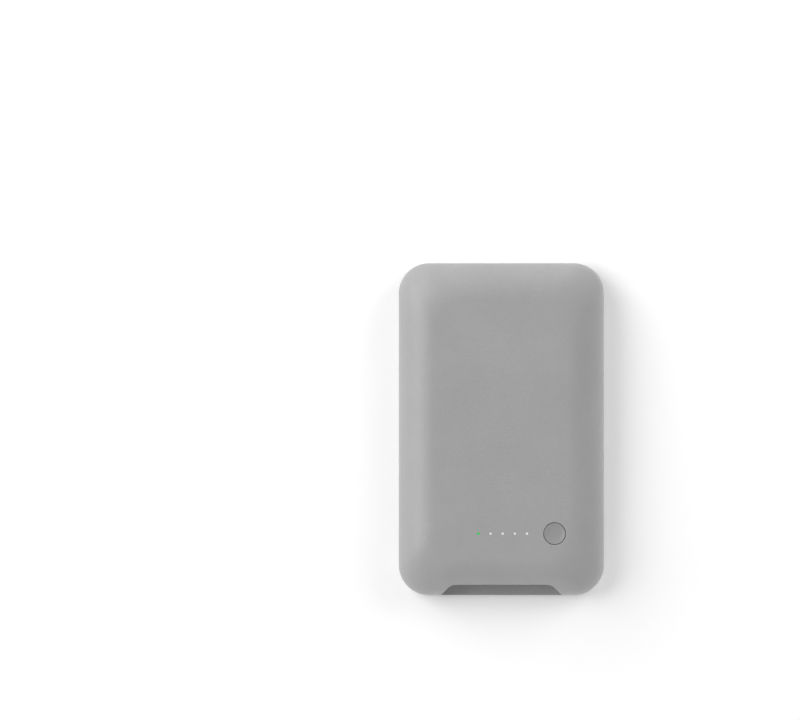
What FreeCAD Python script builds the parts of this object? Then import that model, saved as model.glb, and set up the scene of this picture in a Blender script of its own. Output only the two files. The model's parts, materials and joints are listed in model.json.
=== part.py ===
"""Magnetic power bank: a flat pocket battery that clings by magnets and charges through a coil.

It lies on its flat magnetic face, with the crowned front up. Millimetres, +Z up, +Y towards the top end,
the port end at -Y, origin at the middle of the flat face.
"""

import FreeCAD
import Part

import math
import os

from FreeCAD import Vector

# Overall form
WIDTH = 67.6
LENGTH = 109.4
THICKNESS = 15.0
CORNER_R = 10.0
SIDE_X = WIDTH / 2
END_Y = LENGTH / 2

# Crowned front: a quarter circle falls from the flat top to a low upright rim
CROWN_R = 12.0
RIM_Z = THICKNESS - CROWN_R
CROWN_BANDS = 8
CAVITY_BANDS = 6
WALL = 1.8
CEILING_Z = THICKNESS - WALL
# Inner features sink this far into the skin that they grow from
ROOT = 0.4

# Parting line between the two mouldings
PARTING_Z = 2.4
SHADOW_GAP = 0.25
SHADOW_GAP_DEPTH = 0.5
COVER_EDGE = 0.5

# Rear cover: a tray with upright tongues that plug into the front shell
COVER_FLOOR_Z = 1.2
TONGUE_CLEARANCE = 0.3
TONGUE_WALL = 1.2
TONGUE_TOP_Z = 4.3
TONGUE_INSET = WALL + TONGUE_CLEARANCE
TRAY_INSET = TONGUE_INSET + TONGUE_WALL

# Snap beads on the tongues, with matching pockets in the front shell
BEAD_LENGTH = 7.0
BEAD_HEIGHT = 0.55
BEAD_Z = 3.7
BEAD_HALF = 0.5
BEAD_TIP_HALF = 0.15
BEAD_SLACK = 0.15
SIDE_BEAD_YS = (-30.0, 4.0, 38.0)
END_BEAD_XS = (-16.0, 16.0)

# Port recess: a shallow bay with splayed sides, cut in the port end down to the rear cover
RECESS_MOUTH = 40.0
RECESS_DEPTH = 3.5
RECESS_CORNER_R = 4.2
RECESS_WALL = 1.6
RECESS_Y = -END_Y + RECESS_DEPTH
RECESS_INNER_Y = RECESS_Y + RECESS_WALL
RECESS_FLOOR_HALF = 23.0

# Circuit board, clamped between pillars in the front shell and posts on the rear cover
BOARD_LOW_Z = 5.2
BOARD_TOP_Z = 6.2
BOARD_HALF_X = 26.0
BOARD_FRONT_Y = RECESS_INNER_Y + 0.3
BOARD_BACK_Y = -25.6
BOARD_CORNER = 2.0
CLAMP_SPOTS = ((-23.0, -28.4), (23.0, -28.4), (-22.0, -46.0), (22.0, -46.0))
SOCKET_PROP_SPOTS = ((-7.5, -46.5), (7.5, -46.5))
CLAMP_WIDTH = 2.4

# Components on the board: a row is its first x, y, pitch and count
CHIP_HEIGHT = 0.8
DRIVER_ROW = (-10.0, -38.0, 0, 1)
DRIVER_SIZE = (5.0, 5.0, CHIP_HEIGHT)
CONTROLLER_ROW = (9.5, -41.5, 0, 1)
CONTROLLER_SIZE = (4.0, 4.0, CHIP_HEIGHT)
TRANSISTOR_ROW = (0.0, -38.0, 4.5, 4)
TRANSISTOR_SIZE = (3.3, 3.3, CHIP_HEIGHT)
RESONANT_ROW = (-17.0, -31.5, 3.0, 4)
RESONANT_SIZE = (1.6, 3.2, 1.6)
FILTER_ROW = (-8.5, -40.0, 3.0, 5)
FILTER_SIZE = (1.25, 2.0, 1.25)
INDUCTOR_ROW = (-15.5, -38.5, 0, 1)
INDUCTOR_SIZE = (7.0, 7.0, 3.0)
INDUCTOR_CORNER = 1.2
LED_SIZE = (1.6, 0.8, 0.6)

# Socket
SOCKET_WIDTH = 8.94
SOCKET_HEIGHT = 3.26
SOCKET_SHEET = 0.3
SOCKET_LENGTH = 7.35
SOCKET_FRONT_Y = RECESS_Y + 0.2
SOCKET_Z = BOARD_TOP_Z + SOCKET_HEIGHT / 2
SOCKET_GAP = 0.18
SOCKET_LEAD_IN = 0.4
TONGUE_BLADE_WIDTH = 6.7
TONGUE_BLADE = 0.7
TONGUE_BLADE_SETBACK = 0.9
SOCKET_BACK_BLOCK = 2.2
CONTACT_COUNT = 12
CONTACT_PITCH = 0.5
CONTACT_WIDTH = 0.26
CONTACT_LENGTH = 3.4
CONTACT_SHEET = 0.07

# Button and the switch under it
BUTTON_X = 17.5
BUTTON_Y = -34.35
BUTTON_R = 3.55
BUTTON_GAP = 0.15
BUTTON_TOP_Z = THICKNESS - 0.1
BUTTON_DISH = 0.35
BUTTON_DISH_FLAT_R = 1.4
BUTTON_EDGE = 0.25
BUTTON_FLANGE_R = 4.5
BUTTON_FLANGE = 0.75
BUTTON_FLANGE_PLAY = 0.05
BUTTON_BOSS_R = 5.2
BUTTON_BOSS_LOW_Z = 11.0
BUTTON_STEM_R = 1.6
BUTTON_TRAVEL = 0.4
BORE_EDGE = 0.2
SWITCH_SIZE = 5.2
SWITCH_TOP_Z = 8.1
PLUNGER_R = 1.3
PLUNGER_SLACK = 0.06
PLUNGER_LOW_Z = 7.2
PLUNGER_TOP_Z = 8.9
PLUNGER_SPARE = 0.1

# Charge indicator: five lights in a row behind one clear light guide
LIGHT_COUNT = 5
LIGHT_PITCH = 4.0
LIGHT_MID_X = 0.4
LIGHT_Y = BUTTON_Y
LIGHT_R = 0.42
LIGHT_CLEARANCE = 0.02
PIP_TOP_Z = THICKNESS - 0.05
GUIDE_BAR_LOW_Z = 11.9
GUIDE_BAR_HALF_Y = 1.4
GUIDE_LEG_LOW_Z = 7.1
GUIDE_LEG = 1.2
GUIDE_PIN_REACH = 9.9
GUIDE_PIN = 1.0
GUIDE_PIN_SLACK = 0.05
STAKE_HEAD_WIDTH = 1.6
STAKE_HEAD = 0.4

# Charging coil and magnets, on one centre in the upper half of the back
COIL_Y = 19.4
COIL_INNER_R = 9.5
COIL_OUTER_R = 21.5
COIL_TOP_Z = 2.4
FERRITE_R = 22.0
FERRITE_TOP_Z = 3.2
MAGNET_INNER_R = 23.0
MAGNET_OUTER_R = 27.5
MAGNET_TOP_Z = FERRITE_TOP_Z
MAGNET_COUNT = 18
MAGNET_GAP_DEG = 0.4
RING_OPENING_DEG = 36.0
NEST_RIB = 0.8
NEST_RIB_LENGTH = 8.0
NEST_TOP_Z = 2.4
NEST_SLACK = 0.1
BAR_MAGNET = (6.0, 18.0)
BAR_MAGNET_Y = -18.6
COIL_LEAD = (1.6, 0.4)
COIL_LEAD_X = 5.4
COIL_LEAD_END_Y = -31.0
COIL_LEAD_BEND_R = 1.5

# Battery
CELL_HALF_X = 26.0
CELL_LOW_Z = 4.0
CELL_TOP_Z = 11.6
CELL_PORT_Y = -20.5
CELL_TOP_Y = 46.5
CELL_CORNER = 2.0
CELL_EDGE = 2.0
TERRACE_HALF_X = 22.0
TERRACE = 0.5
TERRACE_Y = -24.5
PROTECTION_HALF_X = 17.0
PROTECTION_TOP_Z = 5.3
PROTECTION_YS = (-24.3, -20.9)
PROTECTION_CHIP_X = 6.0
PROTECTION_CHIP_SIZE = (3.0, 1.8, CHIP_HEIGHT)
TAB_X = 12.0
TAB_WIDTH = 4.0
TAB_SHEET = 0.2
TAB_SETBACK = 0.6
LEAD = (1.8, 0.3)
LEAD_X = 2.2
LEAD_YS = (-21.4, -22.6, -24.4, -29.0)
LEAD_BEND_R = 1.2
FOAM_HALF_X = 20.0
FOAM_YS = ((-12.0, 2.0), (24.0, 38.0))
PAD_HALF_X = 25.0
PAD_YS = (-19.0, 46.0)

# Ribs in the front shell that keep the cell in place
RIB = 1.2
RIB_LOW_Z = 8.5
SIDE_RIB_SLACK = 0.2
SIDE_RIB_YS = ((-10.0, 0.0), (18.0, 28.0))
END_RIB_SLACK = 0.3
END_RIB_XS = (14.0, 24.0)


def centred_box(x, y, z_low, size_x, size_y, height):
    return Part.makeBox(size_x, size_y, height, Vector(x - size_x / 2, y - size_y / 2, z_low))


def span_box(x_span, y_span, z_span):
    low = Vector(x_span[0], y_span[0], z_span[0])
    return Part.makeBox(x_span[1] - x_span[0], y_span[1] - y_span[0], z_span[1] - z_span[0], low)


def post(x, y, radius, z_low, z_high):
    return Part.makeCylinder(radius, z_high - z_low, Vector(x, y, z_low))


def ring(x, y, inner_r, outer_r, z_low, z_high):
    return post(x, y, outer_r, z_low, z_high).cut(post(x, y, inner_r, z_low, z_high))


def rounded_rectangle(width, length, radius, z):
    """A closed outline of four sides and four quarter arcs, centred on the origin."""
    x, y = width / 2, length / 2
    edges = []
    for turn in range(4):
        # Each quarter turn draws one side and the corner after it
        reach, half = (x, y) if turn % 2 == 0 else (y, x)
        spin = FreeCAD.Rotation(Vector(0, 0, 1), 90 * turn)
        centre = Vector(reach - radius, half - radius, 0)
        side_end = Vector(reach, half - radius, 0)
        middle = centre + Vector(radius, radius, 0) * math.sqrt(0.5)
        corner_end = Vector(reach - radius, half, 0)
        points = [Vector(reach, radius - half, 0), side_end, middle, corner_end]
        start, side_end, middle, corner_end = [spin.multVec(p) + Vector(0, 0, z) for p in points]
        edges.append(Part.LineSegment(start, side_end).toShape())
        edges.append(Part.Arc(side_end, middle, corner_end).toShape())
    return Part.Wire(edges)


def upright_edges(solid):
    return [e for e in solid.Edges if max(e.BoundBox.XLength, e.BoundBox.YLength) < 1e-6]


def rounded_plate(width, length, radius, z_low, z_high):
    return Part.Face(rounded_rectangle(width, length, radius, z_low)).extrude(Vector(0, 0, z_high - z_low))


def outline_plate(inset, z_low, z_high):
    """A plate of the power bank's own outline, drawn in by inset."""
    return rounded_plate(WIDTH - 2 * inset, LENGTH - 2 * inset, CORNER_R - inset, z_low, z_high)


def crowned_block(offset, z_low, bands):
    """The crowned form of the front, or its cavity when offset is the wall thickness.

    The outline climbs a quarter circle from the rim to the flat top in narrow bands. Its corners keep their
    radius on the way, so the flat top has soft corners too.
    """
    fall, corner = CROWN_R - offset, CORNER_R - offset
    outlines = []
    for band in range(bands + 1):
        angle = math.radians(90 * band / bands)
        inset = offset + fall * (1 - math.cos(angle))
        height = RIM_Z + fall * math.sin(angle)
        outlines.append(rounded_rectangle(WIDTH - 2 * inset, LENGTH - 2 * inset, corner, height))
    return outline_plate(offset, z_low, RIM_Z).fuse(Part.makeLoft(outlines, True, True))


def stadium(width, height, z_mid, y):
    """A slot outline with round ends, in an upright plane that faces -Y."""
    radius = height / 2
    reach = width / 2 - radius
    low, high = z_mid - radius, z_mid + radius
    return Part.Wire(
        [
            Part.LineSegment(Vector(-reach, y, low), Vector(reach, y, low)).toShape(),
            Part.Arc(Vector(reach, y, low), Vector(width / 2, y, z_mid), Vector(reach, y, high)).toShape(),
            Part.LineSegment(Vector(reach, y, high), Vector(-reach, y, high)).toShape(),
            Part.Arc(Vector(-reach, y, high), Vector(-width / 2, y, z_mid), Vector(-reach, y, low)).toShape(),
        ]
    )


def slot_block(width, height, z_mid, y_low, y_high):
    return Part.Face(stadium(width, height, z_mid, y_low)).extrude(Vector(0, y_high - y_low, 0))


def ribbon(points, size, bend_r):
    """A flat strip along straight runs joined by tangent arcs, starting along the y axis."""
    edges, at = [], points[0]
    for before, corner, after in zip(points, points[1:], points[2:]):
        back, on = (before - corner).normalize(), (after - corner).normalize()
        half_angle = back.getAngle(on) / 2
        reach = bend_r / math.tan(half_angle)
        bisector = (back + on).normalize()
        middle = corner + bisector * (bend_r / math.sin(half_angle) - bend_r)
        enter, leave = corner + back * reach, corner + on * reach
        edges += [Part.LineSegment(at, enter).toShape(), Part.Arc(enter, middle, leave).toShape()]
        at = leave
    edges.append(Part.LineSegment(at, points[-1]).toShape())
    half_width, half_sheet = size[0] / 2, size[1] / 2
    corners = [(-1, -1), (1, -1), (1, 1), (-1, 1), (-1, -1)]
    section = Part.makePolygon([points[0] + Vector(a * half_width, 0, b * half_sheet) for a, b in corners])
    return Part.Wire(edges).makePipeShell([section], True, False)


def group(solids):
    """Like pieces that share one node, each a solid of its own."""
    return Part.makeCompound(solids)


def recess_prism(wall, z_low, z_high):
    """The port bay's plan, grown by wall: splayed at 45 degrees, with round inner corners."""
    back_y = RECESS_Y + wall
    front_y = -END_Y - 2.0
    back_half = RECESS_MOUTH / 2 - RECESS_DEPTH + wall * math.tan(math.radians(22.5))
    front_half = back_half + back_y - front_y
    corners = [(-front_half, front_y), (front_half, front_y), (back_half, back_y), (-back_half, back_y)]
    outline = Part.makePolygon([Vector(x, y, z_low) for x, y in corners + corners[:1]])
    prism = Part.Face(outline).extrude(Vector(0, 0, z_high - z_low))
    inner_edges = [e for e in upright_edges(prism) if e.CenterOfMass.y > -END_Y]
    return prism.makeFillet(RECESS_CORNER_R + wall, inner_edges)


def snap_beads(slack):
    """The beads round the tongue, or the pockets they click into when slack is added."""
    face = TONGUE_INSET - slack
    tip, half = BEAD_HEIGHT + slack, BEAD_HALF + slack
    # Section of one bead: x outwards from the tongue's face, z up, with a ramp above and below
    ramp = [(0, -half), (tip, -BEAD_TIP_HALF), (tip, BEAD_TIP_HALF), (0, half)]
    profile = [(-ROOT, -half)] + ramp + [(-ROOT, half)]
    length = BEAD_LENGTH + 2 * slack
    polygon = Part.makePolygon([Vector(x, -length / 2, z + BEAD_Z) for x, z in profile + profile[:1]])
    bead = Part.Face(polygon).extrude(Vector(0, length, 0))
    beads = []
    for y in SIDE_BEAD_YS:
        for turn in (0, 180):
            side = bead.copy()
            side.rotate(Vector(0, 0, 0), Vector(0, 0, 1), turn)
            side.translate(Vector((SIDE_X - face) * (1 if turn == 0 else -1), y, 0))
            beads.append(side)
    for x in END_BEAD_XS:
        end = bead.copy()
        end.rotate(Vector(0, 0, 0), Vector(0, 0, 1), 90)
        end.translate(Vector(x, END_Y - face, 0))
        beads.append(end)
    return beads


def light_xs():
    return [LIGHT_MID_X + LIGHT_PITCH * (i - (LIGHT_COUNT - 1) / 2) for i in range(LIGHT_COUNT)]


def guide_pin_xs():
    return [LIGHT_MID_X - GUIDE_PIN_REACH, LIGHT_MID_X + GUIDE_PIN_REACH]


def cell_ribs():
    """Upright ribs beside the cell and two stops at its port end, hung from the ceiling."""
    ribs = []
    z_span = (RIB_LOW_Z, CEILING_Z + ROOT)
    side_x = CELL_HALF_X + SIDE_RIB_SLACK
    stop_y = CELL_PORT_Y - END_RIB_SLACK
    for side in (-1, 1):
        for y_span in SIDE_RIB_YS:
            ribs.append(span_box(sorted((side * side_x, side * (side_x + RIB))), y_span, z_span))
        ribs.append(span_box(sorted(side * x for x in END_RIB_XS), (stop_y - RIB, stop_y), z_span))
    return ribs


def socket_mouth():
    """The opening that the socket looks through, with a bevelled lead-in."""
    width, height = SOCKET_WIDTH + 2 * SOCKET_GAP, SOCKET_HEIGHT + 2 * SOCKET_GAP
    opening = slot_block(width, height, SOCKET_Z, RECESS_Y - 1, RECESS_INNER_Y + 1)
    wide = stadium(width + 2 * SOCKET_LEAD_IN, height + 2 * SOCKET_LEAD_IN, SOCKET_Z, RECESS_Y)
    narrow = stadium(width, height, SOCKET_Z, RECESS_Y + SOCKET_LEAD_IN)
    return [opening, Part.makeLoft([wide, narrow], True, True)]


def make_front_shell():
    """The crowned moulding: skin, port bay, button bore, light holes, pillars, staking pins and ribs."""
    form = crowned_block(0, PARTING_Z, CROWN_BANDS).cut(recess_prism(0, PARTING_Z - 1, THICKNESS + 1))
    cavity = crowned_block(WALL, PARTING_Z - 1, CAVITY_BANDS)
    shell = form.cut(cavity.cut(recess_prism(RECESS_WALL, PARTING_Z - 2, THICKNESS)))

    # Inner features grow down from the ceiling, and are trimmed to the outer form
    root_z = CEILING_Z + ROOT
    pillar_rise = root_z - BOARD_TOP_Z
    grown = [centred_box(x, y, BOARD_TOP_Z, CLAMP_WIDTH, CLAMP_WIDTH, pillar_rise) for x, y in CLAMP_SPOTS]
    grown.append(post(BUTTON_X, BUTTON_Y, BUTTON_BOSS_R, BUTTON_BOSS_LOW_Z, root_z))
    shell = shell.fuse([feature.common(form) for feature in grown + cell_ribs()])

    # Staking pins for the light guide, with their flattened heads
    head_low, pin_rise = GUIDE_BAR_LOW_Z - STAKE_HEAD, root_z - GUIDE_BAR_LOW_Z
    for x in guide_pin_xs():
        pin = centred_box(x, LIGHT_Y, GUIDE_BAR_LOW_Z, GUIDE_PIN, GUIDE_PIN, pin_rise)
        head = centred_box(x, LIGHT_Y, head_low, STAKE_HEAD_WIDTH, STAKE_HEAD_WIDTH, STAKE_HEAD)
        shell = shell.fuse([pin, head])

    bore_r = BUTTON_R + BUTTON_GAP
    bevel_at = Vector(BUTTON_X, BUTTON_Y, THICKNESS - BORE_EDGE)
    gap_low, gap_high = PARTING_Z - 1, PARTING_Z + SHADOW_GAP
    cuts = [
        post(BUTTON_X, BUTTON_Y, bore_r, BUTTON_BOSS_LOW_Z - 1, THICKNESS + 1),
        Part.makeCone(bore_r, bore_r + BORE_EDGE, BORE_EDGE, bevel_at),
        outline_plate(-1, gap_low, gap_high).cut(outline_plate(SHADOW_GAP_DEPTH, gap_low, gap_high)),
    ]
    cuts += [post(x, LIGHT_Y, LIGHT_R, CEILING_Z - 1, THICKNESS + 1) for x in light_xs()]
    return shell.cut(cuts + snap_beads(BEAD_SLACK) + socket_mouth())


def make_rear_cover():
    """The flat moulding at the back: tray, tongues, snap beads, magnet nests and board posts."""
    plate = outline_plate(0, 0, PARTING_Z)
    bottom_edges = [e for e in plate.Edges if abs(e.BoundBox.ZMax) < 1e-6]
    cover = plate.makeChamfer(COVER_EDGE, bottom_edges)

    # The tray stops short of the port bay, whose floor is the cover's own top
    bay_span = (-RECESS_FLOOR_HALF, RECESS_FLOOR_HALF)
    bay_floor = span_box(bay_span, (-END_Y - 1, RECESS_INNER_Y + 0.2), (0, THICKNESS))
    cover = cover.cut(outline_plate(TRAY_INSET, COVER_FLOOR_Z, THICKNESS).cut(bay_floor))

    # Tongues along the straight runs of the sides and the top end
    wall_x, wall_y = SIDE_X - TONGUE_INSET - TONGUE_WALL / 2, END_Y - TONGUE_INSET - TONGUE_WALL / 2
    side_run, end_run = 2 * (END_Y - CORNER_R), 2 * (SIDE_X - CORNER_R)
    rise = TONGUE_TOP_Z - COVER_FLOOR_Z
    grown = [centred_box(x, 0, COVER_FLOOR_Z, TONGUE_WALL, side_run, rise) for x in (-wall_x, wall_x)]
    grown.append(centred_box(0, wall_y, COVER_FLOOR_Z, end_run, TONGUE_WALL, rise))
    grown += snap_beads(0)

    # Nests: straight ribs round the magnet ring, a frame for the bar magnet, posts under the board
    floor, rise = COVER_FLOOR_Z, NEST_TOP_Z - COVER_FLOOR_Z
    rib_reach = MAGNET_OUTER_R + NEST_SLACK + NEST_RIB / 2
    for side in (-1, 1):
        grown.append(centred_box(side * rib_reach, COIL_Y, floor, NEST_RIB, NEST_RIB_LENGTH, rise))
    grown.append(centred_box(0, COIL_Y + rib_reach, floor, NEST_RIB_LENGTH, NEST_RIB, rise))
    nest = [size + 2 * NEST_SLACK for size in BAR_MAGNET]
    frame = centred_box(0, BAR_MAGNET_Y, floor, *[size + 2 * NEST_RIB for size in nest], rise)
    grown.append(frame.cut(centred_box(0, BAR_MAGNET_Y, floor, *nest, rise)))
    for x, y in CLAMP_SPOTS + SOCKET_PROP_SPOTS:
        grown.append(centred_box(x, y, floor, CLAMP_WIDTH, CLAMP_WIDTH, BOARD_LOW_Z - floor))
    return cover.fuse(grown)


def make_power_button():
    """A round cap: dished top, bevelled edge, retaining flange and a stem that meets the switch."""
    rim_r = BUTTON_R - BUTTON_EDGE
    dish_low_z = BUTTON_TOP_Z - BUTTON_DISH
    flange_top = BUTTON_BOSS_LOW_Z - BUTTON_FLANGE_PLAY
    flange_low = flange_top - BUTTON_FLANGE
    half_section = [
        (0, dish_low_z),
        (BUTTON_DISH_FLAT_R, dish_low_z),
        (rim_r, BUTTON_TOP_Z),
        (BUTTON_R, BUTTON_TOP_Z - BUTTON_EDGE),
        (BUTTON_R, flange_top),
        (BUTTON_FLANGE_R, flange_top),
        (BUTTON_FLANGE_R, flange_low),
        (BUTTON_STEM_R, flange_low),
        (BUTTON_STEM_R, PLUNGER_TOP_Z),
        (0, PLUNGER_TOP_Z),
        (0, dish_low_z),
    ]
    outline = Part.makePolygon([Vector(r, 0, z) for r, z in half_section])
    cap = Part.Face(outline).revolve(Vector(0, 0, 0), Vector(0, 0, 1), 360)
    cap.translate(Vector(BUTTON_X, BUTTON_Y, 0))
    return cap


def make_switch_base():
    height = SWITCH_TOP_Z - BOARD_TOP_Z
    body = centred_box(BUTTON_X, BUTTON_Y, BOARD_TOP_Z, SWITCH_SIZE, SWITCH_SIZE, height)
    well_low = PLUNGER_LOW_Z - BUTTON_TRAVEL - PLUNGER_SPARE
    return body.cut(post(BUTTON_X, BUTTON_Y, PLUNGER_R + PLUNGER_SLACK, well_low, THICKNESS))


def make_switch_plunger():
    return post(BUTTON_X, BUTTON_Y, PLUNGER_R, PLUNGER_LOW_Z, PLUNGER_TOP_Z)


def make_light_guide():
    """One clear moulding: a staked bar, five pips that fill the light holes, five legs to the lights."""
    rise = CEILING_Z - GUIDE_BAR_LOW_Z
    bar_length = 2 * (GUIDE_PIN_REACH + GUIDE_BAR_HALF_Y)
    bar = centred_box(LIGHT_MID_X, LIGHT_Y, GUIDE_BAR_LOW_Z, bar_length, 2 * GUIDE_BAR_HALF_Y, rise)
    leg_rise = GUIDE_BAR_LOW_Z - GUIDE_LEG_LOW_Z
    hole = GUIDE_PIN + 2 * GUIDE_PIN_SLACK
    pips = [post(x, LIGHT_Y, LIGHT_R - LIGHT_CLEARANCE, CEILING_Z, PIP_TOP_Z) for x in light_xs()]
    legs = [centred_box(x, LIGHT_Y, GUIDE_LEG_LOW_Z, GUIDE_LEG, GUIDE_LEG, leg_rise) for x in light_xs()]
    holes = [centred_box(x, LIGHT_Y, GUIDE_BAR_LOW_Z, hole, hole, rise) for x in guide_pin_xs()]
    return bar.cut(holes).fuse(pips + legs)


def make_indicator_leds():
    return on_board((light_xs()[0], LIGHT_Y, LIGHT_PITCH, LIGHT_COUNT), LED_SIZE)


def make_main_board():
    size_y = BOARD_BACK_Y - BOARD_FRONT_Y
    mid_y = (BOARD_BACK_Y + BOARD_FRONT_Y) / 2
    board = centred_box(0, mid_y, BOARD_LOW_Z, 2 * BOARD_HALF_X, size_y, BOARD_TOP_Z - BOARD_LOW_Z)
    return board.makeChamfer(BOARD_CORNER, upright_edges(board))


def make_socket_shell():
    back_y = SOCKET_FRONT_Y + SOCKET_LENGTH
    outer = slot_block(SOCKET_WIDTH, SOCKET_HEIGHT, SOCKET_Z, SOCKET_FRONT_Y, back_y)
    inner_width, inner_height = SOCKET_WIDTH - 2 * SOCKET_SHEET, SOCKET_HEIGHT - 2 * SOCKET_SHEET
    return outer.cut(slot_block(inner_width, inner_height, SOCKET_Z, SOCKET_FRONT_Y - 1, back_y + 1))


def make_socket_tongue():
    """The moulded insulator: a block that fills the back of the metal shell, and a thin middle blade."""
    back_y = SOCKET_FRONT_Y + SOCKET_LENGTH
    block_y = back_y - SOCKET_BACK_BLOCK
    inner_width, inner_height = SOCKET_WIDTH - 2 * SOCKET_SHEET, SOCKET_HEIGHT - 2 * SOCKET_SHEET
    block = slot_block(inner_width, inner_height, SOCKET_Z, block_y, back_y)
    blade_y = SOCKET_FRONT_Y + TONGUE_BLADE_SETBACK
    half, low = TONGUE_BLADE_WIDTH / 2, SOCKET_Z - TONGUE_BLADE / 2
    blade = span_box((-half, half), (blade_y, block_y), (low, low + TONGUE_BLADE))
    return block.fuse(blade)


def make_socket_contacts():
    """Two rows of flat contacts, one on each face of the blade."""
    back_y = SOCKET_FRONT_Y + SOCKET_LENGTH - SOCKET_BACK_BLOCK
    y_mid = back_y - CONTACT_LENGTH / 2
    contacts = []
    for index in range(CONTACT_COUNT):
        x = CONTACT_PITCH * (index - (CONTACT_COUNT - 1) / 2)
        for z in (SOCKET_Z + TONGUE_BLADE / 2, SOCKET_Z - TONGUE_BLADE / 2 - CONTACT_SHEET):
            contacts.append(centred_box(x, y_mid, z, CONTACT_WIDTH, CONTACT_LENGTH, CONTACT_SHEET))
    return group(contacts)


def on_board(row, size, on_rear=False):
    """A row of like components, on the board's front or on its rear."""
    first_x, y, pitch, count = row
    z_low = BOARD_LOW_Z - size[2] if on_rear else BOARD_TOP_Z
    return group([centred_box(first_x + pitch * i, y, z_low, *size) for i in range(count)])


def make_power_inductor():
    """A square ferrite choke with softened corners."""
    choke = on_board(INDUCTOR_ROW, INDUCTOR_SIZE).Solids[0]
    return choke.makeChamfer(INDUCTOR_CORNER, upright_edges(choke))


def make_charging_coil():
    return ring(0, COIL_Y, COIL_INNER_R, COIL_OUTER_R, COVER_FLOOR_Z, COIL_TOP_Z)


def make_coil_leads():
    """Two flat leads from the coil's edge, out through the ring's opening and up to the board's rear."""
    coil_disc = post(0, COIL_Y, COIL_OUTER_R, 0, THICKNESS)
    lead_z = COVER_FLOOR_Z + COIL_LEAD[1] / 2
    leads = []
    for x in (-COIL_LEAD_X, COIL_LEAD_X):
        route = [
            Vector(x, COIL_Y - COIL_OUTER_R + 2, lead_z),
            Vector(x, COIL_LEAD_END_Y, lead_z),
            Vector(x, COIL_LEAD_END_Y, BOARD_LOW_Z),
        ]
        leads.append(ribbon(route, COIL_LEAD, COIL_LEAD_BEND_R).cut(coil_disc))
    return group(leads)


def make_ferrite_sheet():
    return post(0, COIL_Y, FERRITE_R, COIL_TOP_Z, FERRITE_TOP_Z)


def make_magnet_ring():
    """Wedge magnets set end to end in a ring that is open towards the port end."""
    share = (360 - RING_OPENING_DEG) / MAGNET_COUNT
    half = math.radians(share / 2 - MAGNET_GAP_DEG)
    inner, outer = MAGNET_INNER_R, MAGNET_OUTER_R
    spots = [(inner, -half), (outer, -half), (outer, half), (inner, half), (inner, -half)]
    corners = [Vector(r * math.sin(a), COIL_Y + r * math.cos(a), COVER_FLOOR_Z) for r, a in spots]
    wedge = Part.Face(Part.makePolygon(corners)).extrude(Vector(0, 0, MAGNET_TOP_Z - COVER_FLOOR_Z))
    magnets = []
    for index in range(MAGNET_COUNT):
        magnet = wedge.copy()
        magnet.rotate(Vector(0, COIL_Y, 0), Vector(0, 0, 1), share * (index - (MAGNET_COUNT - 1) / 2))
        magnets.append(magnet)
    return group(magnets)


def make_bar_magnet():
    return centred_box(0, BAR_MAGNET_Y, COVER_FLOOR_Z, *BAR_MAGNET, MAGNET_TOP_Z - COVER_FLOOR_Z)


def make_insulation_pad():
    return span_box((-PAD_HALF_X, PAD_HALF_X), PAD_YS, (FERRITE_TOP_Z, CELL_LOW_Z))


def make_battery_cell():
    """A pouch cell: bevelled body and the flat sealed terrace that carries the protection board."""
    body = span_box((-CELL_HALF_X, CELL_HALF_X), (CELL_PORT_Y, CELL_TOP_Y), (CELL_LOW_Z, CELL_TOP_Z))
    body = body.makeChamfer(CELL_CORNER, upright_edges(body))
    top_edges = [e for e in body.Edges if e.BoundBox.ZMin > CELL_TOP_Z - 1e-6]
    body = body.makeChamfer(CELL_EDGE, top_edges)
    terrace = span_box(
        (-TERRACE_HALF_X, TERRACE_HALF_X), (TERRACE_Y, CELL_PORT_Y), (CELL_LOW_Z, CELL_LOW_Z + TERRACE)
    )
    return body.fuse(terrace)


def make_protection_board():
    half = PROTECTION_HALF_X
    return span_box((-half, half), PROTECTION_YS, (CELL_LOW_Z + TERRACE, PROTECTION_TOP_Z))


def make_protection_chips():
    mid_y = sum(PROTECTION_YS) / 2
    xs = (-PROTECTION_CHIP_X, PROTECTION_CHIP_X)
    return group([centred_box(x, mid_y, PROTECTION_TOP_Z, *PROTECTION_CHIP_SIZE) for x in xs])


def make_battery_tabs():
    tabs = []
    for side in (-1, 1):
        x_span = (side * TAB_X - TAB_WIDTH / 2, side * TAB_X + TAB_WIDTH / 2)
        z_span = (PROTECTION_TOP_Z, PROTECTION_TOP_Z + TAB_SHEET)
        tabs.append(span_box(x_span, (PROTECTION_YS[0] + TAB_SETBACK, CELL_PORT_Y), z_span))
    return group(tabs)


def make_battery_lead(side):
    """A short flat lead from the protection board's top, stepping up onto the main board."""
    x = side * LEAD_X
    low, high = PROTECTION_TOP_Z + LEAD[1] / 2, BOARD_TOP_Z + LEAD[1] / 2
    route = [Vector(x, y, z) for y, z in zip(LEAD_YS, (low, low, high, high))]
    return ribbon(route, LEAD, LEAD_BEND_R)


def make_battery_foam():
    x_span = (-FOAM_HALF_X, FOAM_HALF_X)
    return group([span_box(x_span, y_span, (CELL_TOP_Z, CEILING_Z)) for y_span in FOAM_YS])


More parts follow.
